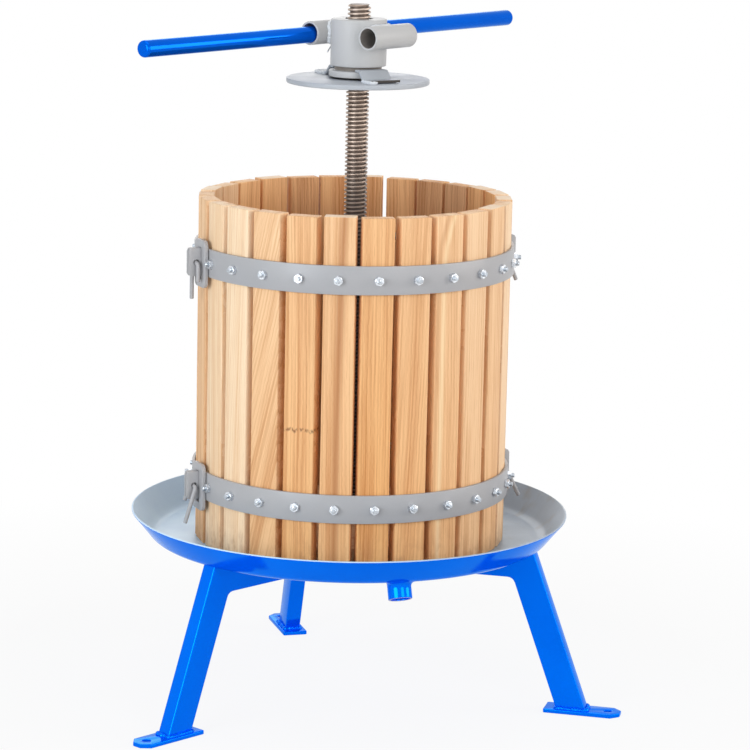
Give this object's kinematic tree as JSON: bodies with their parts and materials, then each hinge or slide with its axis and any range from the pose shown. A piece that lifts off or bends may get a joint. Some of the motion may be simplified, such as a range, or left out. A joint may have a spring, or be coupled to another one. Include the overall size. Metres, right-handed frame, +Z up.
{
  "type": "manual fruit press",
  "caption": "Manual screw press for fruit: slatted wooden basket in a round pan on splayed legs, with a spindle, turning head, handle bar and pressure plate.",
  "frame": {"origin": "on the floor, at the centre of the circle of the three foot bolt holes, under the spindle", "axes": "+Z up along the spindle; the spout points to -Y; one leg stands towards +Y and the other two at 60 degrees either side of -Y"},
  "size_m": [0.614, 0.6219, 0.862],
  "materials": {
    "blue_paint": "gloss enamel",
    "pan_paint": "gloss enamel outside, grey enamel inside",
    "grey_paint": "satin enamel",
    "band_paint": "satin enamel",
    "zinc": "zinc plated",
    "spindle_steel": "oiled bare steel",
    "wood": "planed, untreated"
  },
  "bodies": {
    "stand": {"stave_front_01": "wood", "stave_front_02": "wood", "stave_front_03": "wood", "stave_front_04": "wood", "stave_front_05": "wood", "stave_front_06": "wood", "stave_front_07": "wood", "stave_front_08": "wood", "stave_front_09": "wood", "stave_front_10": "wood", "stave_front_11": "wood", "stave_front_12": "wood", "stave_front_13": "wood", "band_front_lower": "band_paint", "band_front_upper": "band_paint", "stave_bolts_front": "zinc", "stave_nuts_front": "zinc", "stave_rear_01": "wood", "stave_rear_02": "wood", "stave_rear_03": "wood", "stave_rear_04": "wood", "stave_rear_05": "wood", "stave_rear_06": "wood", "stave_rear_07": "wood", "stave_rear_08": "wood", "stave_rear_09": "wood", "stave_rear_10": "wood", "stave_rear_11": "wood", "stave_rear_12": "wood", "stave_rear_13": "wood", "band_rear_lower": "band_paint", "band_rear_upper": "band_paint", "stave_bolts_rear": "zinc", "stave_nuts_rear": "zinc", "latch_clip_left_lower": "band_paint", "latch_clip_left_upper": "band_paint", "latch_clip_right_lower": "band_paint", "latch_clip_right_upper": "band_paint", "leg_front_left": "blue_paint", "leg_front_right": "blue_paint", "leg_rear": "blue_paint", "arms": "blue_paint", "feet": "blue_paint", "anchor_boss": "blue_paint", "anchor_washer": "zinc", "anchor_nut": "zinc", "pan": "pan_paint", "spout": "blue_paint", "spindle": "spindle_steel", "press_boards": "wood"},
    "pin_left_lower": {"latch_pin_left_lower": "band_paint"},
    "pin_left_upper": {"latch_pin_left_upper": "band_paint"},
    "pin_right_lower": {"latch_pin_right_lower": "band_paint"},
    "pin_right_upper": {"latch_pin_right_upper": "band_paint"},
    "plate": {"pressure_plate": "grey_paint", "retainer_clips": "grey_paint"},
    "head": {"hub": "grey_paint", "handle_sockets": "grey_paint", "handle_bar": "blue_paint", "split_pin": "zinc"}
  },
  "joints": [
    {"name": "plate_travel", "type": "slide", "parent": "stand", "child": "plate", "axis": [0, 0, 1], "range_m": [-0.18, 0.015]},
    {"name": "hub_spin", "type": "hinge", "parent": "plate", "child": "head", "pos_m": [0, 0, 0.78], "axis": [0, 0, 1], "range_deg": [-12960, 1080]},
    {"name": "pin_swing_left_lower", "type": "hinge", "parent": "stand", "child": "pin_left_lower", "pos_m": [-0.2055, -0.02523, 0.27955], "axis": [-0.1219, 0.9925, 0], "range_deg": [-20, 143]},
    {"name": "pin_swing_left_upper", "type": "hinge", "parent": "stand", "child": "pin_left_upper", "pos_m": [-0.2055, -0.02523, 0.55455], "axis": [-0.1219, 0.9925, 0], "range_deg": [-3, 160]},
    {"name": "pin_swing_right_lower", "type": "hinge", "parent": "stand", "child": "pin_right_lower", "pos_m": [0.2055, 0.02523, 0.27955], "axis": [0.1219, -0.9925, 0], "range_deg": [-30, 133]},
    {"name": "pin_swing_right_upper", "type": "hinge", "parent": "stand", "child": "pin_right_upper", "pos_m": [0.2055, 0.02523, 0.55455], "axis": [0.1219, -0.9925, 0], "range_deg": [-27, 136]}
  ],
  "couplings": [
    {"joint": "plate_travel", "follows": "hub_spin", "m_per_rad": 0.00079577}
  ]
}
